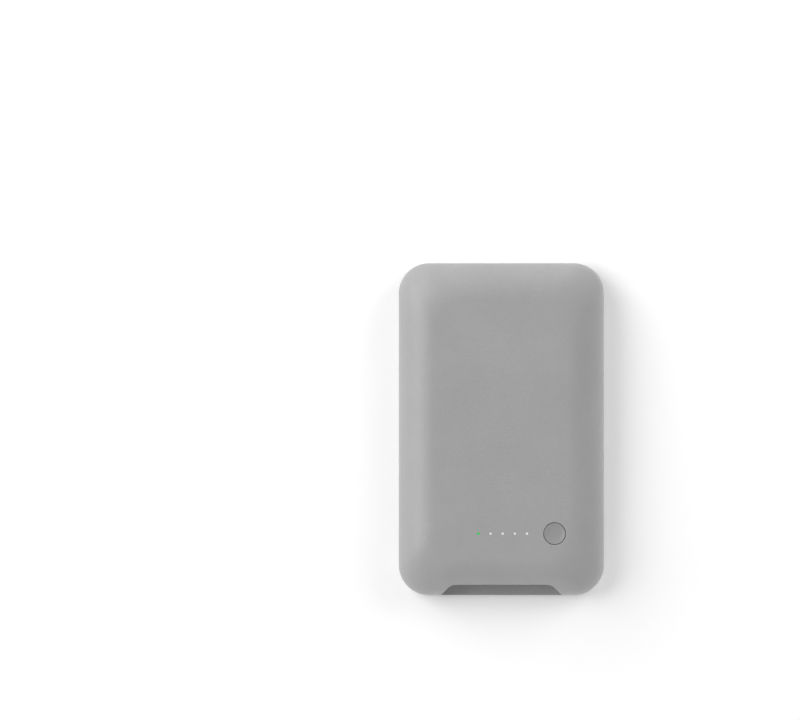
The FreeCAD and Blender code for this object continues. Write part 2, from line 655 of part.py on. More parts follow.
def make_parts():
    return {
        "front_shell": make_front_shell(),
        "rear_cover": make_rear_cover(),
        "power_button": make_power_button(),
        "switch_base": make_switch_base(),
        "switch_plunger": make_switch_plunger(),
        "light_guide": make_light_guide(),
        "indicator_leds": make_indicator_leds(),
        "main_board": make_main_board(),
        "socket_shell": make_socket_shell(),
        "socket_tongue": make_socket_tongue(),
        "socket_contacts": make_socket_contacts(),
        "coil_driver_chip": on_board(DRIVER_ROW, DRIVER_SIZE, on_rear=True),
        "charge_controller_chip": on_board(CONTROLLER_ROW, CONTROLLER_SIZE),
        "bridge_transistors": on_board(TRANSISTOR_ROW, TRANSISTOR_SIZE, on_rear=True),
        "resonant_capacitors": on_board(RESONANT_ROW, RESONANT_SIZE, on_rear=True),
        "filter_capacitors": on_board(FILTER_ROW, FILTER_SIZE),
        "power_inductor": make_power_inductor(),
        "charging_coil": make_charging_coil(),
        "coil_leads": make_coil_leads(),
        "ferrite_sheet": make_ferrite_sheet(),
        "magnet_ring": make_magnet_ring(),
        "bar_magnet": make_bar_magnet(),
        "insulation_pad": make_insulation_pad(),
        "battery_cell": make_battery_cell(),
        "protection_board": make_protection_board(),
        "protection_chips": make_protection_chips(),
        "battery_tabs": make_battery_tabs(),
        "battery_lead_positive": make_battery_lead(-1),
        "battery_lead_negative": make_battery_lead(1),
        "battery_foam": make_battery_foam(),
    }


def main():
    os.makedirs("parts", exist_ok=True)
    for node, shape in make_parts().items():
        solids = shape.Solids
        if not shape.isValid() or not solids:
            raise ValueError(f"{node} is not a valid solid")
        shape.exportStep(f"parts/{node}.step")
        volume = sum(s.Volume for s in solids)
        print(f"{node}: {len(solids)} solid(s), {len(shape.Faces)} faces, {volume:.1f} mm3")


main()
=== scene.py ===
# %% [markdown]
# # A magnetic power bank
# A flat pocket battery with a crowned front, a push button, five charge lights and a bay for the charging
# plug. The measured solids come first and stay where they are. This lesson then gives the pieces that show a
# smooth, fine mesh of their own, and gives every piece a finish made from nodes.

# %% Load the measured part
import json
import math

import bmesh
import bpy
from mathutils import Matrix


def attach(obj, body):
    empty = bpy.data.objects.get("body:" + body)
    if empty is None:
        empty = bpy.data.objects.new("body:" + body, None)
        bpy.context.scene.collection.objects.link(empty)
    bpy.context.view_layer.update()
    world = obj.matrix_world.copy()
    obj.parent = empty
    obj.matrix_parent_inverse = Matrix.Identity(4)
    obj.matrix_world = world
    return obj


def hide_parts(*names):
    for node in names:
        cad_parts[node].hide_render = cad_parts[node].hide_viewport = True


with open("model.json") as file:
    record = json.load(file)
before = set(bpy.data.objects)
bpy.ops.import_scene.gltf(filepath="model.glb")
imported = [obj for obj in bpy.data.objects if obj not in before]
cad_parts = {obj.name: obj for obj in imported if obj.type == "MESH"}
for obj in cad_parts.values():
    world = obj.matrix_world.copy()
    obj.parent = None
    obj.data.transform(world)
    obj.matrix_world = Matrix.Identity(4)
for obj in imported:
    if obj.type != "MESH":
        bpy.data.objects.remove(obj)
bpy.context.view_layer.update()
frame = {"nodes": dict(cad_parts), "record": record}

# %% [markdown]
# ## Sizes
# The solids are in metres and a maker thinks in millimetres, so the sizes below are millimetres and one
# factor turns them. They could be measured back from the solids, but these are the few sizes that drive the
# mouldings, and outlines drawn from them follow the same curves as the solids do.

# %% Sizes of the mouldings, in millimetres
MM = 0.001
SIDE_X, END_Y, TOP_Z = 33.8, 54.7, 15.0
CORNER_R = 10.0
CROWN_R = 12.0
RIM_Z = TOP_Z - CROWN_R
WALL = 1.8
PARTING_Z = 2.4
GAP_TOP_Z, GAP_DEPTH = 2.65, 0.5
BAY_BACK_Y, BAY_BACK_HALF, BAY_BEND_R, BAY_WALL = -51.2, 16.5, 4.2, 1.6
BUTTON_X, BUTTON_Y, BUTTON_R, BUTTON_GAP = 17.5, -34.35, 3.55, 0.15
LIGHT_Y, LIGHT_MID_X, LIGHT_PITCH, LIGHT_COUNT = -34.35, 0.4, 4.0, 5
LIGHT_HOLE_R, LIGHT_PIP_R = 0.42, 0.39
print("outline", 2 * SIDE_X, "by", 2 * END_Y, "mm")

# %% [markdown]
# ## Camera
# The pack is seen from straight above, with no sign of perspective. An orthographic camera would show that,
# but a very long lens from high up does too, and it still behaves as a camera in the other views. The width
# of the picture in millimetres at the pack's own height sets the distance, and the camera's place over the
# pack sets the framing, so the lens needs no shift.

# %% Place the camera
LENS_MM, SENSOR_MM = 1000.0, 36.0
PICTURE_WIDTH_MM = 263.5
CAMERA_X, CAMERA_Y, FOCUS_Z = -33.4, 22.8, 9.0
# The farthest that the camera sees, in metres
CLIP_END = 100

camera_data = bpy.data.cameras.new("camera")
camera_data.lens = LENS_MM
camera_data.sensor_width = SENSOR_MM
camera_data.sensor_fit = "HORIZONTAL"
camera_data.clip_end = CLIP_END
camera = bpy.data.objects.new("camera", camera_data)
camera_height = FOCUS_Z + PICTURE_WIDTH_MM * LENS_MM / SENSOR_MM
camera.location = (CAMERA_X * MM, CAMERA_Y * MM, camera_height * MM)
bpy.context.scene.collection.objects.link(camera)
bpy.context.scene.camera = camera
bpy.context.scene.view_settings.view_transform = "Standard"
print("camera height", round(camera_height * MM, 3), "m")

# %% [markdown]
# ## Small tools for finishes
# A colour is easiest to read as a hex value, as in a paint program, but shaders work in linear light, so one
# function turns it. A finish is a tree of nodes. The nodes could be placed by hand in the editor, but one
# function that adds a node with its settings and links lets a whole finish be read as a few lines of text.

# %% Colour and node tools
def linear(hex_colour):
    """An sRGB hex value as linear RGBA."""
    channels = [int(hex_colour[i : i + 2], 16) / 255 for i in (1, 3, 5)]
    return [c / 12.92 if c <= 0.04045 else ((c + 0.055) / 1.055) ** 2.4 for c in channels] + [1.0]


def add_node(tree, kind, inputs=None, **settings):
    """Adds one node. An input is a plain value, or another node's output to link to it."""
    node = tree.nodes.new(kind)
    for name, value in settings.items():
        setattr(node, name, value)
    for name, value in (inputs or {}).items():
        if isinstance(value, bpy.types.NodeSocket):
            tree.links.new(value, node.inputs[name])
        else:
            node.inputs[name].default_value = value
    return node


def new_finish(name):
    """An empty material, its tree and the coordinates of the piece in metres."""
    material = bpy.data.materials.new(name)
    material.use_nodes = True
    tree = material.node_tree
    tree.nodes.clear()
    return material, tree, add_node(tree, "ShaderNodeTexCoord").outputs["Object"]


def per_mm(size_mm):
    """The scale of a noise pattern whose features are about that many millimetres across."""
    return 1 / (size_mm * MM)


print("mid grey", [round(c, 3) for c in linear("#a0a0a0")])

# %% [markdown]
# ## Moulded plastic
# The mouldings are a grey blend of ABS and polycarbonate. The mould was spark-eroded, which leaves a very
# fine even grain, so the surface is matte with a soft broad highlight. The grain could be real relief, but
# bump is enough for something so shallow. The real grain is about 0.1 mm across, too fine for the picture,
# so it is drawn coarser, at 0.6 mm on the shell, and shallow enough to show only from near by. A slow
# mottling of colour, about 18 mm across, is what keeps a big flat moulding from looking painted.

# %% A moulded plastic
PLASTIC_IOR = 1.5
MOTTLE_MM = 18
# Most of a noise pattern lies between these two values
NOISE_LOW, NOISE_HIGH = 0.3, 0.7
# Height of a grain as a share of its width
GRAIN_RISE = 0.4


def moulded_plastic(name, hex_light, hex_dark, gloss, grain_mm, grain_depth):
    """Plastic with a slow mottling and a fine grain; gloss is its lowest and highest roughness."""
    material, tree, place = new_finish(name)
    mottle = add_node(tree, "ShaderNodeTexNoise", {"Vector": place, "Scale": per_mm(MOTTLE_MM), "Detail": 3})
    tone = add_node(tree, "ShaderNodeValToRGB", {"Fac": mottle.outputs["Fac"]})
    tone.color_ramp.elements[0].color = linear(hex_dark)
    tone.color_ramp.elements[1].color = linear(hex_light)
    tone.color_ramp.elements[0].position = NOISE_LOW
    tone.color_ramp.elements[1].position = NOISE_HIGH
    grain = add_node(tree, "ShaderNodeTexNoise", {"Vector": place, "Scale": per_mm(grain_mm), "Detail": 2})
    spread = {"From Min": NOISE_LOW, "From Max": NOISE_HIGH, "To Min": gloss[0], "To Max": gloss[1]}
    rough = add_node(tree, "ShaderNodeMapRange", {"Value": grain.outputs["Fac"]} | spread)
    relief = {"Strength": grain_depth, "Distance": grain_mm * GRAIN_RISE * MM}
    bump = add_node(tree, "ShaderNodeBump", {"Height": grain.outputs["Fac"]} | relief)
    surface = {
        "Base Color": tone.outputs["Color"],
        "Roughness": rough.outputs["Result"],
        "IOR": PLASTIC_IOR,
        "Normal": bump.outputs["Normal"],
    }
    shader = add_node(tree, "ShaderNodeBsdfPrincipled", surface)
    add_node(tree, "ShaderNodeOutputMaterial", {"Surface": shader.outputs["BSDF"]})
    return material


print("grain rises", GRAIN_RISE, "of its width")

# %% Plastic finishes
GREY, FILM = ("#9c9c9c", "#989898"), ("#202022", "#1a1a1b")
finishes = {
    # Spark-eroded ABS blend: the grain breaks the light into a soft broad highlight
    "shell_plastic": moulded_plastic("spark_eroded_grey_plastic", *GREY, (0.38, 0.50), 0.6, 0.6),
    # The same blend from a duller mould: a shade more matte
    "cover_plastic": moulded_plastic("fine_matte_grey_plastic", *GREY, (0.40, 0.52), 0.6, 0.6),
    # The same blend from a polished mould: darker and satin
    "button_plastic": moulded_plastic("satin_grey_plastic", "#8f8f8f", "#8d8d8d", (0.36, 0.44), 0.4, 0.15),
    # Moulded nylon: near black with a dull sheen
    "socket_insulator": moulded_plastic("black_moulded_nylon", "#1c1c1e", "#161617", (0.4, 0.5), 0.3, 0.3),
    "switch_plastic": moulded_plastic("black_switch_nylon", "#232325", "#1c1c1d", (0.4, 0.5), 0.3, 0.3),
    # Natural acetal: ivory with a waxy sheen
    "plunger_plastic": moulded_plastic("natural_acetal", "#dedbd2", "#d6d3ca", (0.35, 0.42), 0.3, 0.2),
    # Epoxy mould compound: dead black with a sandy grain
    "chip_epoxy": moulded_plastic("black_mould_compound", "#1d1d20", "#151517", (0.5, 0.62), 0.15, 0.5),
    # Rolled polyester film: smooth black with wide faint ripples
    "insulation_sheet": moulded_plastic("black_polyester_film", *FILM, (0.28, 0.34), 1.5, 0.1),
    # Extruded silicone: strong colour with a soft sheen
    "lead_red": moulded_plastic("red_silicone_sleeve", "#b5221d", "#a51d19", (0.42, 0.5), 0.3, 0.2),
    "lead_black": moulded_plastic("black_silicone_sleeve", "#1b1b1c", "#151515", (0.42, 0.5), 0.3, 0.2),
    # Cut foam: a face of tiny cells that swallow the light
    "foam": moulded_plastic("closed_cell_foam", "#2b2b2d", "#1b1b1c", (0.85, 0.95), 0.5, 0.9),
}
print("plastics:", len(finishes))

# %% [markdown]
# ## Crowned front shell
# The front is one moulding: a flat top that falls away in a quarter circle on all four sides. Booleans or a
# bevel could make it, but the corners keep one radius all the way up, and the rim of the plug bay has to
# stay crisp on a curved skin. So each height gets its own outline with the bay already in it, every outline
# has the same number of points, and the skin is the band of quads between one outline and the next.

# %% Outlines
PORT_STEPS, CORNER_STEPS, SIDE_STEPS, END_STEPS = 10, 32, 24, 14


def mirrored(right_half):
    """A closed outline from its right half, which starts and ends on the middle line."""
    return right_half + [(-x, y) for x, y in reversed(right_half[1:-1])]


def straight(start, end, steps):
    """Points from start towards end, without the end itself."""
    return [tuple(a + (b - a) * k / steps for a, b in zip(start, end)) for k in range(steps)]


def corner_arc(centre, radius, start_deg, steps):
    """A quarter turn from start_deg on, without its last point."""
    angles = [math.radians(start_deg + 90 * k / steps) for k in range(steps)]
    return [(centre[0] + radius * math.cos(a), centre[1] + radius * math.sin(a)) for a in angles]


def right_half_outline(half_x, half_y, corner, port_x):
    """The right half of a rounded outline, from port_x on the port end to the middle of the top end."""
    x, y = half_x - corner, half_y - corner
    return (
        straight((port_x, -half_y), (x, -half_y), PORT_STEPS)
        + corner_arc((x, -y), corner, -90, CORNER_STEPS)
        + straight((half_x, -y), (half_x, y), SIDE_STEPS)
        + corner_arc((x, y), corner, 0, CORNER_STEPS)
        + straight((x, half_y), (0, half_y), END_STEPS)
        + [(0, half_y)]
    )


def lifted(outline, z):
    """A flat outline at a height."""
    return [(x, y, z) for x, y in outline]


print("points round an outline:", len(mirrored(right_half_outline(SIDE_X, END_Y, CORNER_R, 0))))

# %% The plug bay in an outline
BAY_STEPS = 36
BAY_TURN = math.radians(45)
# Length of the splayed side for each millimetre that it comes forward
SPLAY_LENGTH = math.sqrt(2)
# Share of the flat top's straight end that the bay's points spread over
BAY_SPREAD = 0.6


def bay_bend_x(wall):
    """Where the bay's back wall starts to bend into its splayed side."""
    half_turn = math.tan(BAY_TURN / 2)
    return BAY_BACK_HALF + wall * half_turn - (BAY_BEND_R + wall) * half_turn


def bay_run(wall, port_y):
    """Half of the bay's wall in plan, from its middle to where it leaves through the port end at port_y."""
    back_y, bend_r, bend_x = BAY_BACK_Y + wall, BAY_BEND_R + wall, bay_bend_x(wall)
    drop, bend_drop = back_y - port_y, bend_r * (1 - math.cos(BAY_TURN))
    if drop < bend_drop:
        length = bend_x + bend_r * math.acos(1 - drop / bend_r)
    else:
        length = bend_x + bend_r * BAY_TURN + (drop - bend_drop) * SPLAY_LENGTH
    points = []
    for k in range(BAY_STEPS + 1):
        along = length * k / BAY_STEPS
        turn = min(max(along - bend_x, 0) / bend_r, BAY_TURN)
        splay = max(along - bend_x - bend_r * BAY_TURN, 0) / SPLAY_LENGTH
        x = min(along, bend_x) + bend_r * math.sin(turn) + splay
        points.append((x, back_y - bend_r * (1 - math.cos(turn)) - splay))
    return points


def shell_outline(offset, wall, inset, bay_inset=None):
    """The shell's outline at an inset from its rim, with the bay wherever the port end still reaches it.

    offset and wall draw the inner skin in from the outer one, along the rim and along the bay. bay_inset
    leaves the bay's own points where a row at that inset has them.
    """
    corner, fall = CORNER_R - offset, CROWN_R - offset
    half_x, half_y = SIDE_X - offset - inset, END_Y - offset - inset
    bay_inset_end = END_Y - offset + BAY_BACK_Y + wall
    if inset < bay_inset_end:
        run = bay_run(wall, -half_y)
        if bay_inset is not None:
            run[:-1] = bay_run(wall, bay_inset - (END_Y - offset))[:-1]
    else:
        # Above the bay the same points spread along the straight port end
        share = (inset - bay_inset_end) / (fall - bay_inset_end)
        top_x = BAY_SPREAD * (SIDE_X - CORNER_R - fall)
        end_x = bay_bend_x(wall) + (top_x - bay_bend_x(wall)) * share
        run = straight((0, -half_y), (end_x, -half_y), BAY_STEPS) + [(end_x, -half_y)]
    return mirrored(run[:-1] + right_half_outline(half_x, half_y, corner, run[-1][0]))


print("bay wall bends at", round(bay_bend_x(0), 2), "mm from the middle")

# %% Tools that turn rows of points into a piece
# Edges that turn by more than this stay crisp
SHARP_ANGLE = math.radians(30)
# Points nearer to each other than this, in metres, are one point
MERGE = 1e-7


def skin(mesh, rows, material_index=0):
    """Bands of faces between closed rows of points. A row of one point closes the form with a tip."""
    made = [[mesh.verts.new([c * MM for c in point]) for point in row] for row in rows]
    for low, high in zip(made, made[1:]):
        for k in range(max(len(low), len(high))):
            after = k + 1
            ring = [low[k % len(low)], low[after % len(low)], high[after % len(high)], high[k % len(high)]]
            mesh.faces.new(list(dict.fromkeys(ring))).material_index = material_index


def solid_object(mesh, name):
    """A closed, outward-facing object from a finished bmesh."""
    bmesh.ops.remove_doubles(mesh, verts=mesh.verts, dist=MERGE)
    bmesh.ops.recalc_face_normals(mesh, faces=mesh.faces)
    data = bpy.data.meshes.new(name)
    mesh.to_mesh(data)
    mesh.free()
    piece = bpy.data.objects.new(name, data)
    bpy.context.scene.collection.objects.link(piece)
    return piece


def dress(piece, body, slot, *stands_for):
    """Gives a piece its finish and its body, and hides the solids that it stands for."""
    if not piece.data.materials:
        piece.data.materials.append(finishes[slot])
    piece.data.shade_smooth()
    piece.data.set_sharp_from_angle(angle=SHARP_ANGLE)
    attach(piece, body)
    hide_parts(*stands_for)
    print(piece.name, len(piece.data.polygons), "faces")


print("edges over", round(math.degrees(SHARP_ANGLE)), "degrees stay crisp")

# %% Rows of the shell's outer and inner skin
CROWN_STEPS, CAVITY_STEPS = 24, 8
# A flat band this wide keeps the crown's shading off the flat top
GUARD = 0.4


def crown_rows(offset, wall, steps):
    """Outlines up the quarter circle, with one just at the bay's upper edge, and a flat band at the top."""
    fall = CROWN_R - offset
    bay_end = math.acos(1 - (END_Y - offset + BAY_BACK_Y + wall) / fall)
    angles = [bay_end * k / steps for k in range(steps)]
    angles += [bay_end + (math.pi / 2 - bay_end) * k / steps for k in range(steps + 1)]
    climb = [(fall * (1 - math.cos(a)), RIM_Z + fall * math.sin(a)) for a in angles]
    climb.append((fall + GUARD, RIM_Z + fall))
    return [lifted(shell_outline(offset, wall, inset), z) for inset, z in climb]


groove = [
    lifted(shell_outline(0, 0, GAP_DEPTH), PARTING_Z),
    lifted(shell_outline(0, 0, GAP_DEPTH), GAP_TOP_Z),
    lifted(shell_outline(0, 0, 0, bay_inset=GAP_DEPTH), GAP_TOP_Z),
]
outer_rows = groove + crown_rows(0, 0, CROWN_STEPS)
cavity_foot = lifted(shell_outline(WALL, BAY_WALL, 0), PARTING_Z)
inner_rows = [cavity_foot] + crown_rows(WALL, BAY_WALL, CAVITY_STEPS)
flat_top, ceiling = [(0, 0, TOP_Z)], [(0, 0, TOP_Z - WALL)]
print("rows:", len(outer_rows), "outside,", len(inner_rows), "inside")

# %% [markdown]
# ### Holes in the shell
# The bore for the button, the five light holes and the socket's mouth could be drawn into the rows, but they
# all lie in flat walls, where a boolean cut leaves no trace in the shading. So they are cut with closed
# tools, as a drill would cut them, and the tools are thrown away.

# %% Turned and slotted forms
SOCKET_Z, SOCKET_WIDTH, SOCKET_HEIGHT = 7.83, 8.94, 3.26
SLOT_STEPS = 24


def turned(profile, x, y, steps):
    """Rows of a turned form round an upright axis; a radius of nothing is a tip."""
    rows = []
    for radius, z in profile:
        angles = [2 * math.pi * k / steps for k in range(steps if radius else 1)]
        rows.append([(x + radius * math.cos(a), y + radius * math.sin(a), z) for a in angles])
    return rows


def slot_outline(width, height, y):
    """An upright slot with round ends, centred on the socket, at one depth."""
    radius, reach = height / 2, (width - height) / 2
    points = []
    for side in (1, -1):
        for k in range(SLOT_STEPS + 1):
            angle = math.pi * (k / SLOT_STEPS - 0.5)
            x, z = reach + radius * math.cos(angle), radius * math.sin(angle)
            points.append((side * x, y, SOCKET_Z + side * z))
    return points


def combine(piece, tool, operation):
    """Cuts a closed tool out of a piece, or grows the two together, and removes the tool."""
    step = piece.modifiers.new("step", "BOOLEAN")
    step.object = tool
    step.operation = operation
    step.solver = "EXACT"
    seen = piece.evaluated_get(bpy.context.evaluated_depsgraph_get())
    piece.data = bpy.data.meshes.new_from_object(seen)
    piece.modifiers.clear()
    bpy.data.objects.remove(tool)


print("points round the socket:", len(slot_outline(SOCKET_WIDTH, SOCKET_HEIGHT, BAY_BACK_Y)))

# %% Cutting tools
ROUND_STEPS, PIP_STEPS = 96, 32
BORE_BEVEL = 0.08
BOSS_R, BOSS_LOW_Z = 5.2, 11.0
MOUTH_GAP, MOUTH_BEVEL = 0.18, 0.4
# A tool reaches this far past the wall that it cuts
SPARE = 1

light_xs = [LIGHT_MID_X + LIGHT_PITCH * (k - (LIGHT_COUNT - 1) / 2) for k in range(LIGHT_COUNT)]
bore_r = BUTTON_R + BUTTON_GAP
below, above = TOP_Z - WALL - SPARE, TOP_Z + SPARE
under_boss = BOSS_LOW_Z - SPARE
tools = bmesh.new()
bore = [(0, under_boss), (bore_r, under_boss), (bore_r, TOP_Z - BORE_BEVEL), (bore_r + BORE_BEVEL, TOP_Z)]
bore += [(bore_r + BORE_BEVEL, above), (0, above)]
skin(tools, turned(bore, BUTTON_X, BUTTON_Y, ROUND_STEPS))
drill = [(0, below), (LIGHT_HOLE_R, below), (LIGHT_HOLE_R, above), (0, above)]
for x in light_xs:
    skin(tools, turned(drill, x, LIGHT_Y, PIP_STEPS))

narrow = (SOCKET_WIDTH + 2 * MOUTH_GAP, SOCKET_HEIGHT + 2 * MOUTH_GAP)
wide = [size + 2 * MOUTH_BEVEL for size in narrow]
mouth = [slot_outline(*wide, BAY_BACK_Y - SPARE), slot_outline(*wide, BAY_BACK_Y)]
mouth += [slot_outline(*narrow, BAY_BACK_Y + offset) for offset in (MOUTH_BEVEL, BAY_WALL + SPARE)]
mouth_ends = [[(0, row[0][1], SOCKET_Z)] for row in (mouth[0], mouth[-1])]
skin(tools, [mouth_ends[0]] + mouth + [mouth_ends[1]])
print("tools cut", 2 + LIGHT_COUNT, "holes")

# %% [markdown]
# ### Inside of the shell
# Behind its skin the moulding holds the works: pillars press the board down, a boss guides the button, ribs
# and stops keep the cell in its place, and two pins are staked through the light bar. Drawn into the rows of
# the skin they would tangle the rows, so each is a plain closed form that sinks into the skin a little, and
# a union grows the two together with no seam. Under the falling crown the forms end lower, inside the skin.

# %% Pillars, ribs, boss and pins
ROOT = 0.4
FLAT_ROOT_Z, CROWN_ROOT_Z = TOP_Z - WALL + ROOT, 13.0
BOARD_LOW_Z, BOARD_TOP_Z, PILLAR_HALF = 5.2, 6.2, 1.2
BACK_PILLAR, PORT_PILLAR = (23.0, -28.4), (22.0, -46.0)
RIB_LOW_Z, RIB_HALF = 8.5, 0.6
SIDE_RIB_X, SIDE_RIB_YS, SIDE_RIB_HALF = 26.8, (-5.0, 23.0), 5.0
STOP_X, STOP_Y, STOP_HALF = 19.0, -21.4, 5.0
BAR_LOW_Z, BAR_TOP_Z = 11.9, TOP_Z - WALL
PIN_REACH, PIN_HALF, PIN_SLACK = 9.9, 0.5, 0.05
HEAD_HALF, HEAD_LOW_Z = 0.8, 11.5
pin_xs = [LIGHT_MID_X - PIN_REACH, LIGHT_MID_X + PIN_REACH]


def sections(x, y, profile):
    """Upright rows of four corners, each from a half width, a half depth and a height."""
    corners = ((-1, -1), (1, -1), (1, 1), (-1, 1))
    return [[(x + a * half_x, y + b * half_y, z) for a, b in corners] for half_x, half_y, z in profile]


def upright(mesh, x, y, *profile):
    """A closed upright form with a square or oblong section."""
    skin(mesh, [[(x, y, profile[0][2])]] + sections(x, y, profile) + [[(x, y, profile[-1][2])]])


works = bmesh.new()
pillar, side_rib, stop = (PILLAR_HALF, PILLAR_HALF), (RIB_HALF, SIDE_RIB_HALF), (STOP_HALF, RIB_HALF)
head, pin = (HEAD_HALF, HEAD_HALF), (PIN_HALF, PIN_HALF)
for side in (-1, 1):
    for (x, y), root_z in ((BACK_PILLAR, FLAT_ROOT_Z), (PORT_PILLAR, CROWN_ROOT_Z)):
        upright(works, side * x, y, (*pillar, BOARD_TOP_Z), (*pillar, root_z))
    for y in SIDE_RIB_YS:
        upright(works, side * SIDE_RIB_X, y, (*side_rib, RIB_LOW_Z), (*side_rib, CROWN_ROOT_Z))
    upright(works, side * STOP_X, STOP_Y, (*stop, RIB_LOW_Z), (*stop, FLAT_ROOT_Z))
staked_pin = [(*head, HEAD_LOW_Z), (*head, BAR_LOW_Z), (*pin, BAR_LOW_Z), (*pin, FLAT_ROOT_Z)]
for x in pin_xs:
    upright(works, x, LIGHT_Y, *staked_pin)
boss = [(0, BOSS_LOW_Z), (BOSS_R, BOSS_LOW_Z), (BOSS_R, FLAT_ROOT_Z), (0, FLAT_ROOT_Z)]
skin(works, turned(boss, BUTTON_X, BUTTON_Y, ROUND_STEPS))
print("inner forms:", len(works.faces), "faces")

# %% [markdown]
# ### Snaps
# The two mouldings click together: beads on the back's upright tongues spring into pockets in the shell's
# wall. A bead is a ridge with a ramp above and below, and its pocket is the same ridge with a little slack,
# so one function draws both.

# %% Snap beads
TONGUE_INSET = 2.1
BEAD_LENGTH, BEAD_HEIGHT, BEAD_SLACK = 7.0, 0.55, 0.15
BEAD_Z, BEAD_HALF, BEAD_TIP_HALF = 3.7, 0.5, 0.15
SIDE_BEAD_YS, END_BEAD_XS = (-30.0, 4.0, 38.0), (-16.0, 16.0)


def ridge(mesh, slack, place):
    """One bead or pocket. place turns a reach outwards, a run along the wall and a height into a point."""
    base, tip, half = slack, slack + BEAD_HEIGHT + slack, BEAD_HALF + slack
    ramp = [(base, -half), (tip, -BEAD_TIP_HALF), (tip, BEAD_TIP_HALF), (base, half)]
    profile = [(base - ROOT, -half)] + ramp + [(base - ROOT, half)]
    runs = [end * (BEAD_LENGTH / 2 + slack) for end in (-1, 1)]
    rows = [[place(out, run, BEAD_Z + rise) for out, rise in profile] for run in runs]
    ends = [[place(base, run, BEAD_Z)] for run in runs]
    skin(mesh, [ends[0]] + rows + [ends[1]])


def snap_beads(mesh, slack):
    """The beads along both sides and the top end, or with some slack the pockets that take them."""
    face_x, face_y = SIDE_X - TONGUE_INSET, END_Y - TONGUE_INSET
    for y in SIDE_BEAD_YS:
        for side in (-1, 1):
            ridge(mesh, slack, lambda out, run, z: (side * (face_x + out), y + run, z))
    for x in END_BEAD_XS:
        ridge(mesh, slack, lambda out, run, z: (x + run, face_y + out, z))


snap_beads(tools, BEAD_SLACK)
print("snaps:", 2 * len(SIDE_BEAD_YS) + len(END_BEAD_XS))

# %% [markdown]
# ### Putting the shell together
# A moulded edge is never quite sharp, and the small radius on the rim of the plug bay catches a thin line of
# light. A bevel modifier would round every edge, so the rim alone is bevelled while the skin is still plain
# rows, and the inner forms and the cuts come after it.

# %% Build the front shell
RIM_R, RIM_STEPS = 0.2, 3
# A bevel of this profile is a round one
ROUND_PROFILE = 0.5
# Heights nearer to each other than this, in millimetres, are one height
NEAR = 1e-4


def on_bay_rim(edge):
    """True for the edges where the crown turns down into the plug bay."""
    middle = (edge.verts[0].co + edge.verts[1].co) / (2 * MM)
    in_bay = middle.y < BAY_BACK_Y + RIM_R and middle.z > GAP_TOP_Z + NEAR
    return in_bay and edge.calc_face_angle(0) > SHARP_ANGLE


front = bmesh.new()
skin(front, [flat_top] + outer_rows[::-1] + inner_rows + [ceiling])
bmesh.ops.remove_doubles(front, verts=front.verts, dist=MERGE)
rim = [edge for edge in front.edges if on_bay_rim(edge)]
bevel = {"offset": RIM_R * MM, "segments": RIM_STEPS, "profile": ROUND_PROFILE, "affect": "EDGES"}
bmesh.ops.bevel(front, geom=rim, **bevel)
print("rim edges rounded:", len(rim))
crowned_front = solid_object(front, "crowned_front")
combine(crowned_front, solid_object(works, "inner_forms"), "UNION")
combine(crowned_front, solid_object(tools, "cutting_tools"), "DIFFERENCE")
dress(crowned_front, "housing", "shell_plastic", "front_shell")

# %% [markdown]
# ## Flat back
# The back is a shallow tray with a plain flat face and a small soft edge. A bevelled box would do, but the
# same rows of outlines give the soft edge, the upper lip that shows in the parting line, and the floor of
# the bay.

# %% Build the flat back
EDGE_R, LIP_R = 0.6, 0.1
EDGE_STEPS = 8
TRAY_INSET, TRAY_FLOOR_Z = 3.3, 1.2
TRAY_PORT_Y = -49.4
# How far the outline's second point lies from the middle line
FIRST_STEP = 1


def plate_outline(inset, port_y=None):
    """The back's outline drawn in by inset, with its port end moved to port_y if one is given."""
    half_x, half_y, corner = SIDE_X - inset, END_Y - inset, CORNER_R - inset
    middle_y = 0
    if port_y is not None:
        half_y, middle_y = (half_y - port_y) / 2, (half_y + port_y) / 2
    run = [(0, -half_y)] + right_half_outline(half_x, half_y, corner, FIRST_STEP)
    return mirrored([(x, y + middle_y) for x, y in run])


quarter = [math.pi / 2 * k / EDGE_STEPS for k in range(EDGE_STEPS + 1)]
back_rows = [(EDGE_R * (1 - math.sin(a)), EDGE_R * (1 - math.cos(a))) for a in quarter]
back_rows += [(LIP_R * (1 - math.cos(a)), PARTING_Z - LIP_R * (1 - math.sin(a))) for a in quarter]
rows = [lifted(plate_outline(inset), z) for inset, z in back_rows]
rows += [lifted(plate_outline(TRAY_INSET, TRAY_PORT_Y), z) for z in (PARTING_Z, TRAY_FLOOR_Z)]
back = bmesh.new()
skin(back, [[(0, 0, 0)]] + rows + [[(0, 0, TRAY_FLOOR_Z)]])
flat_back = solid_object(back, "flat_back")
print("back rows:", len(rows))

# %% [markdown]
# ### Inside of the back
# Tongues with the snap beads stand along the straight sides. Low ribs nest the magnet ring, a frame holds
# the bar magnet, and posts carry the board against the pillars of the shell. Drawn into the tray's rows they
# would tangle them too, so they are closed forms again, and they grow out of the tray as the shell's do.

# %% Tongues, nests and posts
TONGUE_HALF, TONGUE_TOP_Z = 0.6, 4.3
NEST_HALF, NEST_LENGTH_HALF, NEST_TOP_Z, NEST_REACH = 0.4, 4.0, 2.4, 28.0
COIL_X, COIL_Y = 0.0, 19.4
BAR_MAGNET_Y, BAR_MAGNET_HALF_X, BAR_MAGNET_HALF_Y, NEST_SLACK = -18.6, 3.0, 9.0, 0.1
SOCKET_PROP = (7.5, -46.5)
foot_z = TRAY_FLOOR_Z - ROOT

